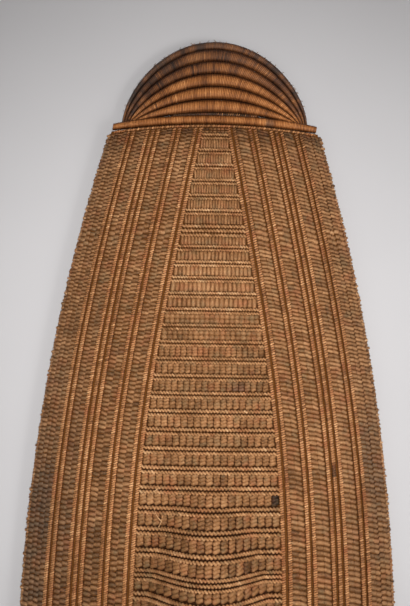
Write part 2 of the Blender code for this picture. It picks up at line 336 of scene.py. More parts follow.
def raffia_finish(name, tint, olive, roughness=0.60, specular=0.25):
    """Twisted plant fibre: fine streaks along each stitch, painted shade low between stitches, patches of wear and
    grime.
    """
    material, tree, shader = new_finish(name, roughness, specular)
    place = object_place(tree)
    grain = attribute(tree, "grain", "Vector")
    stretched = scaled(tree, grain, (1.2, 15.0, 15.0))
    scattered = scaled(tree, place, (90.0, 90.0, 90.0))
    fibre_place = add_node(tree, "ShaderNodeVectorMath", {0: stretched, 1: scattered}, operation="ADD")
    fibres = noise(tree, out(fibre_place), 1.0)
    patches = noise(tree, place, 11.0, 3.0)
    flecks = noise(tree, place, 480.0)
    tone = attribute(tree, "tone", "Fac")
    for pattern, amount in ((patches, 0.30), (flecks, 0.45), (fibres, 0.40)):
        tone = maths(tree, "ADD", tone, swing(tree, pattern, amount))
    colour = shade_ramp(tree, tone, RAFFIA_SHADES)
    rusty = maths(tree, "MULTIPLY", spots(tree, place, 65.0, 0.52, 0.75), 0.50)
    colour = blend_colour(tree, "MIX", rusty, colour, RUST)
    faded = maths(tree, "MULTIPLY", spots(tree, place, 110.0, 0.50, 0.74), olive)
    colour = blend_colour(tree, "MIX", faded, colour, OLIVE)
    dirty = maths(tree, "MULTIPLY", attribute(tree, "grime", "Fac"), noise(tree, place, 38.0))
    colour = blend_colour(tree, "MIX", dirty, colour, GRIME)
    # Painted shade: darker low on each stitch, where the gaps between stitches fall into shade.
    paint_depth_shade(tree, shader, grain, colour, ((0.05, (0.27, 0.13, 0.035)), (0.40, tint)))
    set_relief(tree, shader, fibres, 0.0003)
    return material


CANE_SHADES = (
    (0.00, (0.010, 0.004, 0.002)),
    (0.25, (0.100, 0.035, 0.011)),
    (0.50, (0.320, 0.120, 0.030)),
    (0.75, (0.560, 0.255, 0.085)),
    (1.00, (0.820, 0.480, 0.230)),
)
CANE_GRIME = (0.085, 0.062, 0.048, 1.0)
# Painted shade down the sides of each turn of cane and a painted highlight on its crest, by the grain's height.
CANE_SHADE_AND_HIGHLIGHT = ((0.30, (0.10, 0.06, 0.04)), (0.70, (0.50, 0.40, 0.33)), (0.96, (1.12, 1.04, 1.0)))


def cane_finish(name):
    """Split cane wrapped round and round: each turn has its own tone, with streaks that run round the core, painted
    shade down its sides and a painted highlight on its crest.
    """
    material, tree, shader = new_finish(name, 0.50, 0.28)
    place = object_place(tree)
    grain = attribute(tree, "grain", "Vector")
    streaks = noise(tree, scaled(tree, grain, (2400.0, 0.9, 0.0)), 1.0)
    patches = noise(tree, place, 40.0, 3.0)
    tone = attribute(tree, "tone", "Fac")
    for pattern, amount in ((patches, 0.34), (streaks, 0.60)):
        tone = maths(tree, "ADD", tone, swing(tree, pattern, amount))
    colour = shade_ramp(tree, tone, CANE_SHADES)
    dirty = maths(tree, "MULTIPLY", attribute(tree, "grime", "Fac"), noise(tree, place, 45.0))
    colour = blend_colour(tree, "MIX", dirty, colour, CANE_GRIME)
    # Painted shade on the sides of each turn and a painted highlight along its crest.
    paint_depth_shade(tree, shader, grain, colour, CANE_SHADE_AND_HIGHLIGHT)
    set_relief(tree, shader, streaks, 0.0002)
    return material


def bed_finish(name):
    """The inner fibre that shows between the stitches, painted dark as the shade in the gaps."""
    material, tree, shader = new_finish(name, 0.85, 0.15)
    place = object_place(tree)
    fibres = noise(tree, place, 900.0)
    tone = maths(tree, "MULTIPLY", attribute(tree, "tone", "Fac"), fibres)
    # Painted shade: the bed's dark tones stand for the shaded gaps between stitches.
    shades = ((0.0, (0.036, 0.011, 0.002)), (0.8, (0.300, 0.105, 0.020)))
    tree.links.new(shade_ramp(tree, tone, shades), shader.inputs["Base Color"])
    set_relief(tree, shader, fibres, 0.0004)
    return material


def wood_finish(name):
    """A dark branch worn smooth by the hand, with grain along its length."""
    material, tree, shader = new_finish(name, 0.42, 0.45)
    place = object_place(tree)
    streaks = noise(tree, scaled(tree, place, (420.0, 14.0, 420.0)), 1.0, 3.0)
    patches = noise(tree, place, 16.0)
    tone = maths(tree, "ADD", maths(tree, "MULTIPLY", streaks, 0.6), maths(tree, "MULTIPLY", patches, 0.4))
    shades = ((0.30, (0.045, 0.018, 0.008)), (0.55, (0.130, 0.058, 0.024)), (0.75, (0.240, 0.120, 0.052)))
    tree.links.new(shade_ramp(tree, tone, shades), shader.inputs["Base Color"])
    set_relief(tree, shader, streaks, 0.0003)
    return material


def floor_finish(name):
    material, tree, shader = new_finish(name, 0.80, 0.20)
    place = object_place(tree)
    shades = ((0.3, (0.520, 0.505, 0.508)), (0.7, (0.540, 0.525, 0.528)))
    tree.links.new(shade_ramp(tree, noise(tree, place, 5.0), shades), shader.inputs["Base Color"])
    return material


def store_grain(tree, geometry, value):
    node = add_node(tree, "GeometryNodeStoreNamedAttribute", data_type="FLOAT_VECTOR", domain="POINT")
    set_inputs(tree, node, {"Geometry": geometry, "Name": "grain", "Value": value})
    return out(node)


def stitch_tree():
    """Puts a rounded stitch on each loose point of a piece and keeps the piece's core as it is."""
    tree = bpy.data.node_groups.new("sewn_stitches", "GeometryNodeTree")
    tree.interface.new_socket("Places", in_out="INPUT", socket_type="NodeSocketGeometry")
    for name, kind, value in (
        ("Sides", "NodeSocketInt", 6),
        ("Loops", "NodeSocketInt", 3),
        ("Fullness", "NodeSocketFloat", 0.4),
        ("Size change", "NodeSocketFloat", 0.08),
        ("Turn change", "NodeSocketFloat", 0.10),
        ("Seed", "NodeSocketInt", 1),
    ):
        tree.interface.new_socket(name, in_out="INPUT", socket_type=kind).default_value = value
    tree.interface.new_socket("Finish", in_out="INPUT", socket_type="NodeSocketMaterial")
    tree.interface.new_socket("Piece", in_out="OUTPUT", socket_type="NodeSocketGeometry")
    given = tree.nodes.new("NodeGroupInput")
    result = tree.nodes.new("NodeGroupOutput")

    ball_size = {"Segments": out(given, "Sides"), "Rings": out(given, "Loops"), "Radius": 0.5}
    ball = out(add_node(tree, "GeometryNodeMeshUVSphere", ball_size))
    lengthwise = add_node(tree, "GeometryNodeTransform", {"Geometry": ball, "Rotation": (0.0, math.pi / 2, 0.0)})
    place = add_node(tree, "GeometryNodeInputPosition")
    from_middle = maths(tree, "ABSOLUTE", out(add_node(tree, "ShaderNodeSeparateXYZ", {"Vector": out(place)}), "X"))
    to_tip = maths(tree, "MULTIPLY_ADD", from_middle, -2.0, 1.0)
    length_growth = maths(tree, "MULTIPLY_ADD", maths(tree, "MULTIPLY", to_tip, out(given, "Fullness")), 2.0, 1.0)
    girth_growth = maths(tree, "MULTIPLY_ADD", out(given, "Fullness"), 0.25, 1.0)
    growth = add_node(tree, "ShaderNodeCombineXYZ", {"X": length_growth, "Y": girth_growth, "Z": girth_growth})
    fuller = add_node(tree, "ShaderNodeVectorMath", {0: out(place), 1: out(growth)}, operation="MULTIPLY")
    shaped = add_node(tree, "GeometryNodeSetPosition", {"Geometry": out(lengthwise), "Position": out(fuller)})
    stitch = store_grain(tree, out(shaped), out(place))

    named = {}
    for name in ("heading", "up", "size"):
        node = tree.nodes.new("GeometryNodeInputNamedAttribute")
        node.data_type = "FLOAT_VECTOR"
        node.inputs["Name"].default_value = name
        named[name] = out(node, "Attribute")
    axes = {0: named["heading"], 1: named["up"]}
    aim = add_node(tree, "FunctionNodeAxesToRotation", axes, primary_axis="X", secondary_axis="Z")

    def spread(middle, amount, seed_step):
        """A random number to either side of a middle value."""
        low = maths(tree, "SUBTRACT", middle, amount)
        high = maths(tree, "ADD", middle, amount)
        seed = maths(tree, "ADD", out(given, "Seed"), float(seed_step))
        inputs = {"Min": low, "Max": high, "Seed": seed}
        return out(add_node(tree, "FunctionNodeRandomValue", inputs, data_type="FLOAT"))

    shake = add_node(tree, "ShaderNodeCombineXYZ", {"Z": spread(0.0, out(given, "Turn change"), 1)})
    shaken = add_node(tree, "FunctionNodeEulerToRotation", {"Euler": out(shake)})
    turns = {"Rotation": out(aim), "Rotate By": out(shaken)}
    turned = add_node(tree, "FunctionNodeRotateRotation", turns, rotation_space="LOCAL")
    growths = {0: named["size"], "Scale": spread(1.0, out(given, "Size change"), 2)}
    grown = add_node(tree, "ShaderNodeVectorMath", growths, operation="SCALE")
    length = add_node(tree, "ShaderNodeVectorMath", {0: named["size"]}, operation="LENGTH")
    is_stitch = add_node(tree, "FunctionNodeCompare", data_type="FLOAT", operation="GREATER_THAN")
    tree.links.new(out(length, "Value"), is_stitch.inputs[0])
    is_stitch.inputs[1].default_value = 0.0

    places = out(given, "Places")
    laid = {"Points": places, "Selection": out(is_stitch), "Instance": stitch}
    laid |= {"Rotation": out(turned), "Scale": out(grown)}
    sewn = add_node(tree, "GeometryNodeInstanceOnPoints", laid)
    stitches = out(add_node(tree, "GeometryNodeRealizeInstances", {"Geometry": out(sewn)}))
    covered = {"Geometry": places, "Selection": out(is_stitch)}
    core = add_node(tree, "GeometryNodeDeleteGeometry", covered, domain="POINT")
    # The cores get a low grain height, so the finish paints them with the shade that falls between stitches.
    core_in_painted_shade = store_grain(tree, out(core), (0.0, 0.0, 0.25))
    piece = add_node(tree, "GeometryNodeJoinGeometry")
    for part in (stitches, core_in_painted_shade):
        tree.links.new(part, piece.inputs[0])
    for name in named:
        piece = add_node(tree, "GeometryNodeRemoveAttribute", {"Geometry": out(piece), "Name": name})
    piece = add_node(tree, "GeometryNodeSetShadeSmooth", {"Geometry": out(piece)})
    piece = add_node(tree, "GeometryNodeSetMaterial", {"Geometry": out(piece), "Material": out(given, "Finish")})
    tree.links.new(out(piece), result.inputs[0])
    return tree


STITCH_TREE = stitch_tree()


class Stitches:
    """The places of one piece's stitches, and the plain core that they cover."""

    def __init__(self):
        self.rows = []
        self.core_points = []
        self.core_faces = []
        self.core_shades = []

    def place(self, at, heading, up, size, tone=0.5, grime=0.0):
        count = len(at)
        size = np.column_stack([np.broadcast_to(part, count) for part in size])
        tone = np.broadcast_to(tone, count)
        grime = np.broadcast_to(grime, count)
        self.rows.append(np.column_stack([at, heading, up, size, tone, grime]))

    def lay(self, surface, x, row, turn, size, lift=0.0, tone=0.5, grime=0.0):
        """Stitches on a surface, each turned from the crosswise direction."""
        at, across, along, up = directions(surface, x, row)
        turn = np.broadcast_to(turn, len(at))[:, None]
        lift = np.broadcast_to(lift, len(at))[:, None]
        self.place(at + up * lift, across * np.cos(turn) + along * np.sin(turn), up, size, tone, grime)

    def add_core(self, rings, tone, grime=0.0):
        """A closed tube under the stitches; its low grain height paints it with the shade between them."""
        count = add_tube(self.core_points, self.core_faces, rings)
        self.core_shades += [(tone, grime)] * count


def add_tube(points, faces, rings):
    """Adds a closed tube to the lists of a piece and counts its points."""
    own_points, own_faces = loft_arrays(rings)
    first = len(points)
    points += [tuple(point) for point in own_points]
    faces += [tuple(first + i for i in face) for face in facing_out(own_points, own_faces)]
    return len(own_points)


def set_attribute(mesh, name, kind, values):
    field = "vector" if kind == "FLOAT_VECTOR" else "value"
    flat = np.ascontiguousarray(values, dtype=np.float32).ravel()
    mesh.attributes.new(name, kind, "POINT").data.foreach_set(field, flat)


def link_piece(name, mesh):
    piece = bpy.data.objects.new(name, mesh)
    bpy.context.scene.collection.objects.link(piece)
    return piece


def register(piece, replaced):
    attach(piece, "root")
    if replaced:
        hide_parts(*replaced)
    return piece


def sew(name, stitches, finish, replaced=(), size_change=0.08, turn_change=0.10, seed=1):
    """Turns the places of the stitches into one plain mesh."""
    table = np.vstack(stitches.rows)
    cores = len(stitches.core_points)
    mesh = bpy.data.meshes.new(name)
    mesh.from_pydata(stitches.core_points + [tuple(row) for row in table[:, :3]], [], stitches.core_faces)
    full = np.vstack([np.zeros((cores, table.shape[1])), table])
    full[:cores, 12:] = np.reshape(stitches.core_shades, (cores, 2))
    set_attribute(mesh, "heading", "FLOAT_VECTOR", full[:, 3:6])
    set_attribute(mesh, "up", "FLOAT_VECTOR", full[:, 6:9])
    set_attribute(mesh, "size", "FLOAT_VECTOR", full[:, 9:12])
    set_attribute(mesh, "tone", "FLOAT", full[:, 12])
    set_attribute(mesh, "grime", "FLOAT", full[:, 13])
    piece = link_piece(name, mesh)
    modifier = piece.modifiers.new("stitches", "NODES")
    modifier.node_group = STITCH_TREE
    values = {"Size change": size_change, "Turn change": turn_change, "Seed": seed, "Finish": finish}
    for item in STITCH_TREE.interface.items_tree:
        if item.in_out == "INPUT" and item.name in values:
            modifier[item.identifier] = values[item.name]
    evaluated = piece.evaluated_get(bpy.context.evaluated_depsgraph_get())
    sewn = bpy.data.meshes.new_from_object(evaluated)
    piece.modifiers.remove(modifier)
    piece.data = sewn
    bpy.data.meshes.remove(mesh)
    sewn.name = name
    return register(piece, replaced)


def loft_arrays(rings):
    """Points and faces of a closed tube through rings of points, with a fan on each end."""
    rings = np.asarray(rings)
    count, sides, _ = rings.shape
    points = [*rings.reshape(-1, 3), rings[0].mean(axis=0), rings[-1].mean(axis=0)]
    faces = []
    for r in range(count - 1):
        for i in range(sides):
            j = (i + 1) % sides
            faces.append((r * sides + i, r * sides + j, (r + 1) * sides + j, (r + 1) * sides + i))
    first, last, top = count * sides, count * sides + 1, (count - 1) * sides
    for i in range(sides):
        j = (i + 1) % sides
        faces.append((first, j, i))
        faces.append((last, top + i, top + j))
    return points, faces


def tube_rings(path, across, up, half_across, half_high, sides, lean=0.0):
    """Rings round a path; lean shifts each ring's near side back along the path, as a wrapping does."""
    turns = np.arange(sides) * 2 * math.pi / sides
    ahead = np.cross(across, up)
    half_across = np.broadcast_to(half_across, len(path))
    half_high = np.broadcast_to(half_high, len(path))
    return [
        [p + a * math.cos(t) * wide + u * math.sin(t) * high + f * math.cos(t) * lean for t in turns]
        for p, a, u, f, wide, high in zip(path, across, up, ahead, half_across, half_high)
    ]


def facing_out(points, faces):
    """The same faces, turned round if they enclose a negative volume."""
    points = np.asarray(points)
    volume = 0.0
    for face in faces:
        a = points[face[0]]
        for i in range(1, len(face) - 1):
            volume += np.dot(a, np.cross(points[face[i]], points[face[i + 1]]))
    return faces if volume > 0 else [tuple(reversed(face)) for face in faces]


def plain_piece(name, points, faces, finish, replaced=(), attributes=None):
    mesh = bpy.data.meshes.new(name)
    mesh.from_pydata([tuple(point) for point in points], [], facing_out(points, faces))
    for key, (kind, values) in (attributes or {}).items():
        set_attribute(mesh, key, kind, values)
    mesh.materials.append(finish)
    mesh.shade_smooth()
    mesh.set_sharp_from_angle(angle=math.radians(50))
    return register(link_piece(name, mesh), replaced)


def walk(path, pitch):
    """Places at an even pitch along a dense path: their shares of the sample numbers."""
    steps = np.linalg.norm(np.diff(path, axis=0), axis=1)
    run = np.concatenate([[0.0], np.cumsum(steps)])
    count = max(1, round(run[-1] / pitch))
    targets = (np.arange(count) + 0.5) / count * run[-1]
    return np.interp(targets, run, np.arange(len(path))), run[-1] / count


def at_share(values, shares):
    """Reads a dense list between its samples."""
    values = np.asarray(values)
    if values.ndim == 1:
        return np.interp(shares, np.arange(len(values)), values)
    return np.column_stack([np.interp(shares, np.arange(len(values)), column) for column in values.T])


def cord_along(stitches, surface, x, row, pitch, size, slant, lift, tone, grime=0.0, fullness=None):
    """A twisted cord along a dense path of x and row on a surface; tone and grime may be functions of place."""
    path = surface(x, row)
    shares, spacing = walk(path, pitch)
    cx, cr = at_share(x, shares), at_share(row, shares)
    at, _, _, up = directions(surface, cx, cr)
    beyond = at_share(path, np.minimum(shares + 0.5, len(path) - 1))
    ahead = unit(beyond - at_share(path, np.maximum(shares - 0.5, 0)))
    side = np.cross(up, ahead)
    heading = ahead * math.cos(slant) + side * math.sin(slant)
    tone = tone(cx, cr) if callable(tone) else tone
    grime = grime(cx, cr) if callable(grime) else grime
    if fullness:
        size = [part * fullness(cr) for part in size]
    stitches.place(at + up * lift, heading, up, size, tone, grime)


def near_end(row):
    """From 0 on most of the shield to 1 beside the end bars, where the weave is darker with dirt and painted shade.
    """
    return np.clip((np.abs(row) - END_DARK_FROM) / END_DARK_REACH, 0, 1)


def wobble(count, amount, smooth=9):
    """Slow random changes along a row of stitches."""
    raw = chance.normal(size=count + 2 * smooth)
    eased = np.convolve(raw, np.hanning(smooth + 2)[1:-1], mode="same")[smooth:-smooth]
    return amount * eased / max(1e-6, eased.std()) if count > 1 else np.zeros(count)


def edge_grime(x, row):
    """Grime gathers towards the rim, most on the left and towards the middle of the shield."""
    share = np.abs(x) / half_width(row)
    lower = np.clip((0.46 - row) / 0.26, 0, 1)
    return np.clip((share - 0.55) * 1.6, 0, 1) * (np.where(x < 0, 0.30, 0.20) + np.where(x < 0, 0.90, 0.35) * lower)


def rib_fullness(row):
    """The ribs grow thinner where they draw together."""
    return (half_width(row) - field_half_width(row)) / RIB_SPREAD


def rib_grime(x, row):
    """The ribs stay cleaner than the bands."""
    return 0.6 * edge_grime(x, row)


def make_ribs(finish):
    """The long twisted cords, each slanted by its side and thinner where the ribs draw together."""
    shares = [share for group in RIB_GROUPS for share in group]
    last = PANEL_END - BINDING_INSET - BINDING_DIAMETER / 2 - GAP
    row = np.linspace(-last, last, 1500)
    for side_name, side in SIDES.items():
        for number, share in enumerate(shares, 1):
            x = side * rib_x(share, row)
            base = 0.68 - 0.02 * (side > 0) + chance.normal(0, 0.025)

            def tone(cx, cr):
                # Darker beside the end bars: dirt and painted shade.
                shade = base + wobble(len(cx), 0.05, 25) + chance.normal(0, 0.10, len(cx)) - END_SHADE * near_end(cr)
                stain = STAINED_RIB == (side_name, number)
                return np.where(stain & (np.abs(cr - STAIN_ROW) < STAIN_REACH), 0.12, shade)

            stitches = Stitches()
            slant = RIB_SLANT[side_name]
            size = (RIB_ACROSS / abs(math.sin(slant)), *RIB_STITCH_GIRTH)
            lift = RIB_CENTRE + GAP
            looks = (tone, rib_grime, rib_fullness)
            cord_along(stitches, on_face, x, row, RIB_STITCH_PITCH, size, slant, lift, *looks)
            core_row = np.linspace(-last, last, 60)
            at, across, _, up = directions(on_face, side * rib_x(share, core_row), core_row)
            wide, high = (part * rib_fullness(core_row) for part in RIB_CORE)
            # The core shows in the gaps between stitches, darker than them: painted shade.
            stitches.add_core(tube_rings(at + up * lift, across, up, wide, high, 6), base - 0.30, 0.2)
            solid = f"rib_{side_name}_{number}"
            sew(f"cord_{side_name}_{number}", stitches, finish, [solid], seed=number)


def band_rows():
    """Every row of the side bands: its place, its height along the shield and the shade it shares."""
    places, pitches = [], []
    for low, high in zip(TIERS, TIERS[1:]):
        pitch = (high - low) / ROWS_PER_TIER
        places += [low + (i + 0.5) * pitch for i in range(ROWS_PER_TIER)]
        pitches += [pitch] * ROWS_PER_TIER
    strip = (END_STRIP - BINDING_INSET - BINDING_DIAMETER / 2) / 2
    for i in range(2):
        row = WEAVE_END + (i + 0.5) * strip
        places += [row, -row]
        pitches += [strip, strip]
    return np.array(places), np.array(pitches)


def make_bands(finish):
    """The side bands: stacked rows of twined stitches between the groups of ribs."""
    rows, pitches = band_rows()
    edges = [None, *RIB_GROUPS]
    clear = RIB_WIDTH / 2 + 0.0001
    for side_name, side in SIDES.items():
        stitches = Stitches()
        for band in range(len(RIB_GROUPS)):
            inner = rib_x(RIB_GROUPS[band][0], rows) + clear
            outer = half_width(rows) - 0.0022 if band == 0 else rib_x(edges[band][-1], rows) - clear
            count = 4 if band == 0 else 2
            slant = math.radians(4 if side < 0 else -14)
            row_shade = chance.normal(0, 0.05, len(rows))
            for i in range(count):
                wide = (outer - inner) / count
                x = side * (inner + (i + 0.5) * wide)
                base = (0.50, 0.495, 0.475, 0.475)[band] + (0.03 if side > 0 else 0.0)
                worn = (0.06 if side < 0 else 0.03) * np.clip((np.abs(rows) - 0.33) / 0.10, -1, 1)
                # Darker beside the end bars (dirt and painted shade); the end strip rows darker still (painted
                # shade).
                tone = base + worn + row_shade + chance.normal(0, 0.06, len(rows)) - END_SHADE * near_end(rows)
                tone = tone - 0.12 * (np.abs(rows) > WEAVE_END)
                turn = side * slant + math.radians(5) * (-1) ** i + chance.normal(0, math.radians(5), len(rows))
                size = (wide * 1.38, pitches * 1.02, BAND_STITCH_HEIGHT)
                wave = pitches * 0.14 * (-1) ** i
                dirty = np.exp(-(((rows - DIRTY_RIM[side_name]) / 0.055) ** 2)) * (band == 0)
                grime = 0.15 + edge_grime(x, rows) + 0.45 * dirty
                stitches.lay(on_face, x, rows + wave, turn, size, 0.0002, tone - 0.08 * dirty, grime)
        selvedge(stitches, side)
        sew(f"side_weave_{side_name}", stitches, finish, ["woven_panel"], turn_change=0.05, seed=20)


def on_rim(side):
    """The line of the rim, as a surface that leans outwards."""

    def surface(x, row):
        drop = np.abs(x) - half_width(row)
        height = 0.0066 - drop * 1.1
        return np.stack([x, bowed(np.clip(x, -half_width(row), half_width(row)), row), height], axis=-1)

    return surface


def selvedge(stitches, side):
    """The slanting stitches that close the rim."""
    row = np.linspace(-PANEL_END + 0.003, PANEL_END - 0.003, 1500)
    x = side * (half_width(row) - 0.0012)
    slant = math.radians(-40)

    def tone(cx, cr):
        return 0.52 + wobble(len(cx), 0.05) + chance.normal(0, 0.10, len(cx))

    cord_along(stitches, on_rim(side), x, row, SELVEDGE_PITCH, (0.0056, 0.0030, 0.0044), slant, 0.0, tone, 0.5)
    rows, _ = band_rows()
    rows = rows + chance.normal(0, 0.0005, len(rows))
    x = side * (half_width(rows) - chance.uniform(-0.0002, 0.0018, len(rows)))
    turn = chance.normal(0.0, 0.35, len(rows))
    size = (0.0052, chance.uniform(0.0018, 0.0030, len(rows)), 0.0030)
    stitches.lay(on_face, x, rows, turn, size, -0.0004, chance.normal(0.60, 0.18, len(rows)), 0.35)


def cord_rows(tier, low, high):
    """The rows of a tier's raised cords, counted down from its high edge, and how thick the cords are."""
    cords = 3 if tier in TRIPLE_TIERS else 2
    pitch = (high - low) * (TRIPLE_SHARE if cords == 3 else 1.0)
    first = high + CORD_RAISE - CORD_FROM_TOP * pitch
    return [first - i * CORD_SPACING * pitch for i in range(cords)], pitch / CORD_TIER


def field_stain(x, row):
    """The small grey stain on the blocks high in the field."""
    return 0.8 * np.exp(-(((x - FIELD_STAIN[0]) / 0.009) ** 2) - ((row - FIELD_STAIN[1]) / 0.008) ** 2)


def make_field(finish):
    """The centre field: in each tier a raised pair of cords above a low panel of upright blocks."""
    blocks, cords = Stitches(), Stitches()
    for tier, (low, high) in enumerate(zip(TIERS, TIERS[1:])):
        middle = (low + high) / 2
        wide = field_half_width(middle) - FIELD_SIDE + 0.0004
        tier_shade = chance.normal(0, 0.03)
        lines, thick = cord_rows(tier, low, high)
        for line in lines:
            half = field_half_width(line) - FIELD_SIDE + 0.0004
            x = np.linspace(-half, half, 120)
            # Darker beside the end bars (dirt and painted shade) and over the middle of the boss (painted shade).
            base = 0.65 + tier_shade - END_SHADE * near_end(line) - 0.07 * math.exp(-((line / 0.25) ** 6))

            def shade(cx, cr):
                # Lighter across the middle of the boss: worn polish with a painted highlight.
                polish_and_highlight = 0.04 * np.exp(-((cx / 0.030) ** 2)) * (np.abs(cr) < 0.19)
                return base + polish_and_highlight + wobble(len(cx), 0.05) + chance.normal(0, 0.07, len(cx))

            size = [part * thick for part in CORD_STITCH]
            cord_along(cords, on_face, x, np.full(120, line), CORD_PITCH * thick, size, CORD_SLANT, CORD_LIFT, shade)
            at, _, along, up = directions(on_face, np.linspace(-half, half, 24), np.full(24, line))
            # The core, dark where it shows between the stitches: painted shade.
            cords.add_core(tube_rings(at + up * (CORD_LIFT - 0.0006), along, up, 0.0012, 0.0008, 4), 0.34)
        top = lines[-1] - 0.0013 * thick
        bottom = low - 0.0002
        columns = int(np.clip(round(2 * wide / NARROWEST_COLUMN), 5, COLUMNS))
        column = 2 * wide / columns
        upright = column < UPRIGHT_BELOW
        stack = 1 if upright else max(2, round((top - bottom) / BLOCK_STITCH_PITCH))
        step = (top - bottom) / stack
        for i in range(columns):
            block_shade = 0.49 + tier_shade + chance.normal(0, 0.035 if upright else 0.06)
            # Darker beside the end bars (dirt and painted shade) and over the middle of the boss (painted shade).
            block_shade -= END_SHADE * near_end(low) + 0.11 * math.exp(-((middle / 0.24) ** 6))
            x = np.full(stack, -wide + (i + 0.5) * column)
            row = bottom + (np.arange(stack) + 0.5) * step
            tone = block_shade + chance.normal(0, 0.04, stack)
            broad = column * stretch(on_face, x, row, ACROSS_STEP)
            if tier == DARK_TIER and i == columns - 1:
                tone = np.full(stack, 0.02)
            if upright:
                blocks.lay(on_face, x, row, math.pi / 2, (step * 1.20, broad * 1.20, 0.0036), 0.0, tone)
            else:
                size = (broad * 1.14, step * 1.60, 0.0036)
                stain = field_stain(x, row)
                blocks.lay(on_face, x, row, BLOCK_SLANT, size, 0.0, tone - 0.12 * stain, stain)
    strip = (END_STRIP - BINDING_INSET - BINDING_DIAMETER / 2) / 2
    for end in ENDS.values():
        for i in range(2):
            row = WEAVE_END + (i + 0.5) * strip
            half = field_half_width(row) - FIELD_SIDE
            x = np.linspace(-half, half, 7)
            # Painted shade: the end strip beside the binding cord is darker.
            tone = 0.38 + chance.normal(0, 0.10, 7)
            blocks.lay(on_face, x, np.full(7, end * row), 0.0, (half / 3, strip * 0.9, 0.003), 0.0, tone)
    sew("field_blocks", blocks, finish, ["woven_panel"], turn_change=0.08, seed=40)
    sew("field_cords", cords, finish, ["woven_panel"], seed=41)


def make_back(finish):
    """The plainer back of the weave: broad twined rows over upright stakes."""
    stitches = Stitches()
    for tier, (low, high) in enumerate(zip(TIERS, TIERS[1:])):
        pitch = (high - low) / 2
        for part in range(2):
            row = low + (part + 0.5) * pitch
            half = float(half_width(np.array(row))) - 0.0035
            count = max(2, round(2 * half / 0.0105))
            step = 2 * half / count
            x = -half + (np.arange(count) + 0.5) * step
            row = np.full(count, row)
            at, across, along, up = directions(on_back, x, row)
            turn = math.radians(14 * (-1) ** part)
            heading = across * math.cos(turn) + along * math.sin(turn)
            clear = np.maximum(0.0, 0.0013 - at[:, 2])[:, None]
            tone = 0.44 + chance.normal(0, 0.05, count)
            broad = step * 1.15 * stretch(on_back, x, row, ACROSS_STEP)
            size = (broad, pitch * 1.02 * stretch(on_back, x, row, ALONG_STEP), 0.0030)
            stitches.place(at + up * 0.0004 + clear * np.array([0, 0, 1.0]), heading, -up, size, tone, 0.25)
    sew("back_weave", stitches, finish, ["woven_panel"], turn_change=0.05, seed=60)


def make_bed(finish):
    """The closed body between the two faces, a little smaller than the panel, painted dark as the shade between the
    stitches.
    """
    edges = np.concatenate([[-PANEL_END], TIERS, [PANEL_END]])
    rows = np.interp(np.arange(0, len(edges) - 0.9, 1 / 3), np.arange(len(edges)), edges)
    inset, sink, columns = 0.0016, 0.0006, 64
    rings, tones = [], []
    for row in rows:
        half = half_width(row) - inset
        x = np.linspace(-half, half, columns)
        # The bed's tone: lighter under the side bands, darkest under the field, as painted shade in the gaps.
        upper_field = 0.35 * np.clip((abs(row) - 0.20) / 0.20, 0, 1)
        light = np.where(np.abs(x) > field_half_width(row) - 0.001, 0.65, upper_field)
        tones += [*light, *light[::-1]]
        upper = on_face(x, np.full(columns, row)) - np.array([0, 0, sink])
        lower = on_back(x, np.full(columns, row)) + np.array([0, 0, sink])
        rings.append(np.vstack([upper, lower[::-1]]))
    points, faces = loft_arrays(rings)
    points = points[:-2]
    faces = [face for face in faces if len(face) == 4]
    sides = 2 * columns
    last = (len(rows) - 1) * sides
    for i in range(columns - 1):
        faces.append((i + 1, i, sides - 1 - i, sides - 2 - i))
        faces.append((last + i, last + i + 1, last + sides - 2 - i, last + sides - 1 - i))
    shades = {"tone": ("FLOAT", np.array(tones))}
    plain_piece("weave_bed", points, faces, finish, ["woven_panel"], shades)


def bar_y(x):
    return PANEL_HALF_LENGTH - END_BOW * (x / HALF_WIDTH_END) ** 2


def bar_level(x):
    return BAR_DIAMETER / 2 + GAP + CROWN_END * (1 - (x / HALF_WIDTH_END) ** 2)


def bar_radius(x):
    share = np.abs(x) / (HALF_WIDTH_END - BAR_INSET)
    return BAR_DIAMETER / 2 - (BAR_DIAMETER - BAR_TIP_DIAMETER) / 2 * share**4


def fan_line(j, turn):
    """The line between two bows; line 0 is the outside of the fan."""
    span = HALF_WIDTH_END - BOW_SPAN_INSET - BOW_TIP_STEP * j
    rise = FAN_RISE - (RIM_BOW_WIDTH + BOW_WIDTH * (j - 1) if j else 0.0)
    sharpness = OUTER_SHARPNESS + SHARPNESS_STEP * j
    return np.stack([span * np.cos(turn), PANEL_HALF_LENGTH + rise * np.abs(np.sin(turn)) ** sharpness], axis=-1)


def bow_centre(k, turn):
    return (fan_line(k, turn) + fan_line(k + 1, turn)) / 2


def fan_level(k, x):
    share = (bow_centre(k, np.array(math.pi / 2))[1] - PANEL_HALF_LENGTH) / FAN_RISE
    outermost = (bow_centre(0, np.array(math.pi / 2))[1] - PANEL_HALF_LENGTH) / FAN_RISE
    arch = 1 - (x / HALF_WIDTH_END) ** 2
    return BOW_THICKNESS / 2 + CROWN_END * arch * (1 - (share / outermost) ** 2)


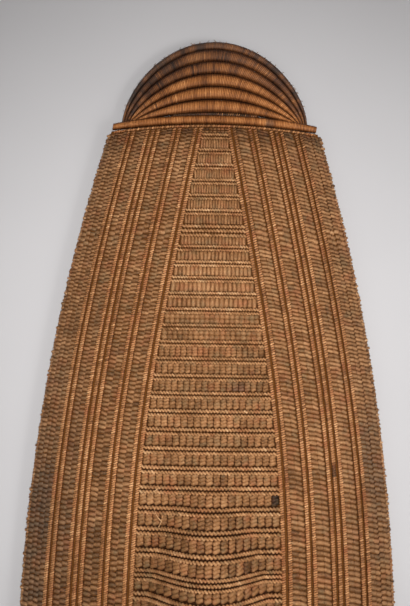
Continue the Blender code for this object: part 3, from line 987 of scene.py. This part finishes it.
def wrapped_piece(name, node, path, across, half_across, half_high, tone, grime, finish, patchy=0.05, floor_y=None):
    """A cane core wrapped in turn after turn: each turn is a low ridge with its own tone, and painted shade in the
    grooves between turns.
    """
    steps = np.linalg.norm(np.diff(path, axis=0), axis=1)
    run = np.concatenate([[0.0], np.cumsum(steps)])
    turns = round(run[-1] / WRAP_PITCH)
    stations = np.linspace(0, run[-1], 2 * turns + 1)
    shares = np.interp(stations, run, np.arange(len(path)))
    at = at_share(path, shares)
    side = unit(at_share(across, shares))
    up = np.tile([0.0, 0.0, 1.0], (len(at), 1))
    crest = np.where(np.arange(len(at)) % 2 == 1, 1.0, 0.90)
    wide = at_share(half_across, shares) * crest
    high = at_share(half_high, shares) * crest
    sides = 12
    rings = np.array(tube_rings(at, side, up, wide, high, sides, WRAP_PITCH * 0.3))
    if floor_y is not None:
        rings = floor_y(rings)
    points, faces = loft_arrays(rings)
    turn_of = np.minimum(np.arange(len(at)) // 2, turns - 1)
    own = chance.normal(0, 0.06, turns) + wobble(turns, patchy, 9)
    own = own + np.where(chance.random(turns) < 0.05, chance.choice([-0.20, 0.15], turns), 0.0)
    # Painted shade: the low rings between turns are darker.
    shade = (at_share(tone, shares) + own[turn_of]) * np.where(crest < 1, 0.56, 1.0)
    shade = np.append(np.repeat(shade, sides), [shade[0], shade[-1]])
    dirt = np.append(np.repeat(at_share(grime, shares), sides), [0.0, 0.0])
    angle = np.tile(np.arange(sides) * 2 * math.pi / sides, len(at))
    # The grain's height runs round each ring, for the painted shade down the sides and the painted highlight on the
    # crest.
    grain = np.column_stack([np.repeat(stations, sides), angle, np.sin(angle)])
    grain = np.vstack([grain, grain[0], grain[-1]])
    attributes = {"tone": ("FLOAT", shade), "grime": ("FLOAT", dirt), "grain": ("FLOAT_VECTOR", grain)}
    return plain_piece(name, points, faces, finish, [node], attributes)


def make_bar(end_name, end, finish):
    half = HALF_WIDTH_END - BAR_INSET
    x = np.linspace(-half, half, 400)
    path = np.column_stack([x, end * bar_y(x), bar_level(x)])
    across = np.tile([0.0, 1.0, 0.0], (400, 1))
    radius = bar_radius(x) + 0.0002
    tone = np.full(400, BAR_TONE)
    grime = np.where((x > PATCH_ON_BAR[0]) & (x < PATCH_ON_BAR[1]), 1.1, 0.0)
    wrapped_piece(f"{end_name}_wrapped_bar", f"{end_name}_bar", path, across, radius, radius, tone, grime, finish)


BAR_TONE = 0.63
BOW_TONES = (0.40, 0.45, 0.46, 0.63, 0.67, 0.63)
BOW_PATCHES = (0.14, 0.10, 0.08, 0.06, 0.05, 0.05)
BOW_GRIME = (0.9, 0.6, 0.4, 0.1, 0.05, 0.05)


def make_bow(end_name, end, k, finish):
    turn = np.linspace(0.0, math.pi, 1601)
    centre = bow_centre(k, turn)
    keep = centre[:, 1] > bar_y(centre[:, 0]) + bar_radius(centre[:, 0]) - 0.001
    turn, centre = turn[keep], centre[keep]
    across = unit(np.column_stack([np.gradient(centre[:, 1]), -np.gradient(centre[:, 0])]))
    across = across * np.sign((across * (fan_line(k, turn) - fan_line(k + 1, turn))).sum(axis=1))[:, None]
    wide = ((fan_line(k, turn) - fan_line(k + 1, turn)) * across).sum(axis=1) / 2 + 0.0002
    high = (BOW_TIP_THICKNESS + (BOW_THICKNESS - BOW_TIP_THICKNESS) * np.sin(turn)) / 2
    x = centre[:, 0]
    path = np.column_stack([x, end * centre[:, 1], fan_level(k, x)])
    across = np.column_stack([across[:, 0], end * across[:, 1], np.zeros(len(across))])
    # Each bow darker towards both ends: painted shade; the left end darker still with its patina and grime.
    left = np.clip(-x / 0.09, 0, 1)
    tone = BOW_TONES[k] - 0.13 * left**2 - 0.05 * np.clip(x / 0.09, 0, 1) ** 2
    grime = np.full(len(x), BOW_GRIME[k]) + 0.4 * left**2

    def clear_of_bar(rings):
        edge = bar_y(rings[..., 0]) + bar_radius(rings[..., 0]) - 0.0008
        rings[..., 1] = end * np.maximum(end * rings[..., 1], edge)
        return rings

    name, node = f"{end_name}_wrapped_bow_{k + 1}", f"{end_name}_bow_{k + 1}"
    extras = (BOW_PATCHES[k], clear_of_bar)
    wrapped_piece(name, node, path, across, wide, high, tone, grime, finish, *extras)


def make_binding(end_name, end, finish):
    """The knotted cord beside the bar, light and dark by turns."""
    row = PANEL_END - BINDING_INSET
    half = half_width(row) - 0.003 - BINDING_DIAMETER
    x = np.linspace(-half, half, 300)
    stitches = Stitches()

    def tone(cx, cr):
        return np.where(np.arange(len(cx)) % 2 == 0, 0.60, 0.38) + chance.normal(0, 0.08, len(cx))

    size = (0.0034, 0.0026, 0.0030)
    cord_along(stitches, on_face, x, np.full(300, end * row), 0.0026, size, math.radians(30), 0.0017, tone)
    at, _, along, up = directions(on_face, np.linspace(-half, half, 40), np.full(40, end * row))
    # The core, dark where it shows between the stitches: painted shade.
    stitches.add_core(tube_rings(at + up * 0.0015, along, up, 0.0010, 0.0010, 4), 0.35)
    sew(f"{end_name}_knotted_cord", stitches, finish, [f"{end_name}_binding_cord"], seed=70)


def fan_line_y(j, x):
    sharpness = OUTER_SHARPNESS + SHARPNESS_STEP * j
    span = fan_line(j, np.array(0.0))[0]
    top = fan_line(j, np.array(math.pi / 2))[1]
    share = np.maximum(0.0, 1 - (x / span) ** 2)
    return PANEL_HALF_LENGTH + (top - PANEL_HALF_LENGTH) * share ** (sharpness / 2)


def make_lacing(end_name, end, finish):
    """The lacing in the slit above the bar, painted dark as the shade in the slit, with a few light turns of fibre.
    """
    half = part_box(f"{end_name}_lacing")[1][0] + 0.009
    x = np.linspace(-half, half, 41)
    low = bar_y(x) + bar_radius(x) - 0.0006
    high = fan_line_y(BOWS, x) + 0.0008
    level = fan_level(BOWS - 1, x) - 0.0010
    rings = []
    for px, a, b, z in zip(x, low, high, level):
        corners = ((a, z - 0.001), (b, z - 0.001), (b, z + 0.001), (a, z + 0.001))
        rings.append([(px, end * y, level_z) for y, level_z in corners])
    stitches = Stitches()
    # Painted shade: a dark core fills the slit.
    stitches.add_core(rings, 0.05, 0.3)
    places = np.linspace(-half * 0.95, half * 0.95, 40)
    middle = (bar_y(places) + bar_radius(places) + fan_line_y(BOWS, places)) / 2
    at = np.column_stack([places, end * middle, fan_level(BOWS - 1, places) + 0.0004])
    heading = np.tile(unit(np.array([0.35, 1.0, 0.0])), (40, 1))
    up = np.tile([0.0, 0.0, 1.0], (40, 1))
    light = (places > 0.0) & (chance.random(40) < 0.6)
    stitches.place(at, heading, up, (0.0030, 0.0012, 0.0016), np.where(light, 0.62, 0.15), 0.2)
    sew(f"{end_name}_lacing_turns", stitches, finish, [f"{end_name}_lacing"], seed=75)


def grip_level():
    rest = back_height(0.0, GRIP_HALF_LENGTH)
    return rest - GRIP_CLEARANCE - GRIP_TIP_DIAMETER / 2


def grip_radius(y):
    share = np.minimum(1.0, np.abs(y) / GRIP_HALF_LENGTH)
    return GRIP_DIAMETER / 2 - (GRIP_DIAMETER - GRIP_TIP_DIAMETER) / 2 * share**3


def make_grip(finish):
    """The carved rod behind the boss, slightly uneven, with rounded tips."""
    share = np.sin(np.linspace(-math.pi / 2, math.pi / 2, 61))
    y = share * GRIP_HALF_LENGTH
    tip = np.sqrt(np.maximum(0.0, 1 - np.clip((np.abs(y) - GRIP_HALF_LENGTH + 0.005) / 0.005, 0, 1) ** 2))
    radius = grip_radius(y) * (0.35 + 0.65 * tip) * 0.985
    sides = 28
    turns = np.arange(sides) * 2 * math.pi / sides
    rings = []
    for place, r in zip(y, radius):
        uneven = 1 + 0.010 * np.sin(3 * turns + 40 * place) - 0.010
        height = grip_level() + r * uneven * np.sin(turns)
        rings.append(np.column_stack([r * uneven * np.cos(turns), np.full(sides, place), height]))
    points, faces = loft_arrays(rings)
    plain_piece("carved_grip", points, faces, finish, ["grip"])


def make_strap(end_name, end, finish):
    """Turns of split cane that pass under the grip and into the back of the panel."""
    middle = end * (GRIP_HALF_LENGTH - STRAP_INSET)
    inner = float(grip_radius(np.array(GRIP_HALF_LENGTH - STRAP_INSET - STRAP_WIDTH / 2))) + GAP
    bands, sides = 8, 8
    width = STRAP_WIDTH / bands
    points, faces, tones, grains = [], [], [], []
    for i in range(bands):
        y = middle + (i - (bands - 1) / 2) * width
        radius = inner + STRAP_THICKNESS / 2
        leg = float(back_height(radius, y)) - 0.0004
        turns = np.linspace(math.pi, 2 * math.pi, 15)
        curve = [(radius * math.cos(t), grip_level() + radius * math.sin(t)) for t in turns]
        knee = (leg + grip_level()) / 2
        line = [(-radius, leg), (-radius, knee), *curve, (radius, knee), (radius, leg)]
        path = np.array([(x, y, z) for x, z in line])
        ahead = unit(np.gradient(path, axis=0))
        across = np.tile([0.0, 1.0, 0.0], (len(path), 1))
        rings = tube_rings(path, across, np.cross(ahead, across), width * 0.49, STRAP_THICKNESS * 0.48, sides)
        count = add_tube(points, faces, rings)
        tones += [0.50 + chance.normal(0, 0.06)] * count
        angle = np.tile(np.arange(sides) / sides * 0.003, len(path))
        grains += [(a + y, 0.0, 1.0) for a in angle] + [(y, 0.0, 1.0)] * 2
    attributes = {
        "tone": ("FLOAT", np.array(tones)),
        "grime": ("FLOAT", np.full(len(tones), 0.3)),
        "grain": ("FLOAT_VECTOR", np.array(grains)),
    }
    solid = f"grip_strap_{end_name}"
    plain_piece(f"{end_name}_strap_turns", points, faces, finish, [solid], attributes)


def make_loose_fibres(finish):
    """Fibre ends that have worked loose from the field and splinters along the outermost bows."""
    fibres = [(start, run, curl, 0.0006) for start, run, curl in LOOSE_FIBRES]
    for end in ENDS.values():
        for turn in chance.uniform(0.2, math.pi - 0.2, SPLINTERS):
            here, beyond = fan_line(0, np.array(turn)), fan_line(0, np.array(turn + 0.01))
            ahead = unit(beyond - here)
            outward = np.array([ahead[1], -ahead[0]])
            lean = chance.uniform(-1.2, 1.2)
            run = (outward + lean * ahead) * chance.uniform(0.0012, 0.0034)
            start = here - outward * 0.0012
            height = BOW_THICKNESS * chance.uniform(0.35, 0.75)
            curl = (0.0, 0.0, chance.uniform(0.0, 0.0008))
            fibres.append(((start[0], end * start[1], height), (run[0], end * run[1], 0.0), curl, 0.00042))
    points, faces, tones = [], [], []
    for start, run, curl, width in fibres:
        t = np.linspace(0, 1, 7)[:, None]
        path = np.array(start) + np.array(run) * t + np.array(curl) * np.sin(math.pi * t)
        ahead = unit(np.gradient(path, axis=0))
        side = unit(np.cross(ahead, np.tile([0.0, 0.0, 1.0], (len(path), 1))))
        radius = width * (1 - 0.6 * t[:, 0])
        count = add_tube(points, faces, tube_rings(path, side, np.cross(side, ahead), radius, radius, 5))
        tones += [chance.uniform(0.15, 0.5) if abs(start[1]) > PANEL_HALF_LENGTH else 0.85] * count
    attributes = {
        "tone": ("FLOAT", np.array(tones)),
        "grain": ("FLOAT_VECTOR", np.tile([0.0, 0.0, 0.5], (len(points), 1))),
    }
    plain_piece("loose_fibres", points, faces, finish, (), attributes)


# Marks of age, at their places on the shield
TRIPLE_TIERS = (6, 25, 38, 57)
DARK_TIER = 42
STAINED_RIB = ("right", 4)
STAIN_ROW = 0.257
STAIN_REACH = 0.006
PATCH_ON_BAR = (0.052, 0.060)
SPLINTERS = 60


def above_face(x, row, height):
    return tuple(on_face(np.array(x), np.array(row)) + np.array([0.0, 0.0, height]))


LOOSE_FIBRES = (
    (above_face(-0.0520, 0.198, 0.0022), (0.006, 0.016, 0.0), (0.001, 0.0, 0.0014)),
    (above_face(-0.0470, 0.206, 0.0024), (-0.008, 0.013, 0.0), (-0.001, 0.0, 0.0016)),
    (above_face(-0.0560, 0.235, 0.0024), (0.007, 0.006, 0.0), (0.0, 0.001, 0.0012)),
)


def make_floor(finish):
    mesh = bpy.data.meshes.new("floor")
    reach = 6.0
    corners = [(-reach, -reach, 0), (reach, -reach, 0), (reach, reach, 0), (-reach, reach, 0)]
    mesh.from_pydata(corners, [], [(0, 1, 2, 3)])
    mesh.materials.append(finish)
    link_piece("floor", mesh)


def aim_lamp(name, light, at, target, colour):
    light.color = colour
    lamp = bpy.data.objects.new(name, light)
    lamp.visible_camera = False
    lamp.location = at
    lamp.rotation_euler = (Vector(target) - Vector(at)).to_track_quat("-Z", "Y").to_euler()
    bpy.context.scene.collection.objects.link(lamp)


def add_spot(name, at, target, energy, spread, colour=(1.0, 1.0, 1.0)):
    light = bpy.data.lights.new(name, "SPOT")
    light.energy = energy
    light.spot_size = math.radians(spread)
    light.spot_blend = 1.0
    light.shadow_soft_size = 0.16
    aim_lamp(name, light, at, target, colour)


def add_panel_light(name, at, target, size, energy, colour=(1.0, 1.0, 1.0)):
    light = bpy.data.lights.new(name, "AREA")
    light.shape = "DISK"
    light.size = size
    light.energy = energy
    aim_lamp(name, light, at, target, colour)


def make_studio():
    add_spot("key", (0.005, 0.34, 1.60), (0.005, 0.34, 0.0), 96.0, 41.0)
    add_spot("lower_key", (0.0, -0.45, 1.60), (0.0, -0.45, 0.0), 70.0, 34.0)
    add_panel_light("left_fill", (-1.6, 0.1, 1.3), (0.0, 0.1, 0.0), 1.2, 3.0)
    add_panel_light("right_fill", (1.4, 0.08, 0.95), (0.0, 0.08, 0.0), 0.7, 12.0)
    world = bpy.data.worlds.new("studio")
    world.use_nodes = True
    background = world.node_tree.nodes["Background"]
    background.inputs["Color"].default_value = (1.0, 0.98, 0.98, 1.0)
    background.inputs["Strength"].default_value = 0.20
    bpy.context.scene.world = world
    bpy.context.scene.view_settings.view_transform = "Standard"


def make_camera():
    camera = bpy.data.cameras.new("camera")
    camera.lens = LENS
    camera.sensor_fit = "AUTO"
    camera.sensor_width = SENSOR
    holder = bpy.data.objects.new("camera", camera)
    holder.location = CAMERA_AT
    holder.rotation_euler = (0.0, 0.0, CAMERA_ROLL)
    bpy.context.scene.collection.objects.link(holder)
    bpy.context.scene.camera = holder


def main():
    weave = raffia_finish("aged_raffia", (0.94, 0.95, 0.95), 0.36)
    cord = raffia_finish("twisted_raffia_cord", (1.05, 0.97, 0.87), 0.10, 0.52, 0.30)
    cane = cane_finish("wrapped_split_cane")
    bed = bed_finish("inner_fibre_painted_shade")
    wood = wood_finish("handled_wood")
    make_camera()
    make_studio()
    make_floor(floor_finish("pale_floor"))
    make_bed(bed)
    make_ribs(cord)
    make_bands(weave)
    make_field(weave)
    make_back(weave)
    for end_name, end in ENDS.items():
        make_bar(end_name, end, cane)
        make_binding(end_name, end, cord)
        make_lacing(end_name, end, cord)
        for k in range(BOWS):
            make_bow(end_name, end, k, cane)
        make_strap(end_name, end, cane)
    make_grip(wood)
    make_loose_fibres(weave)


main()
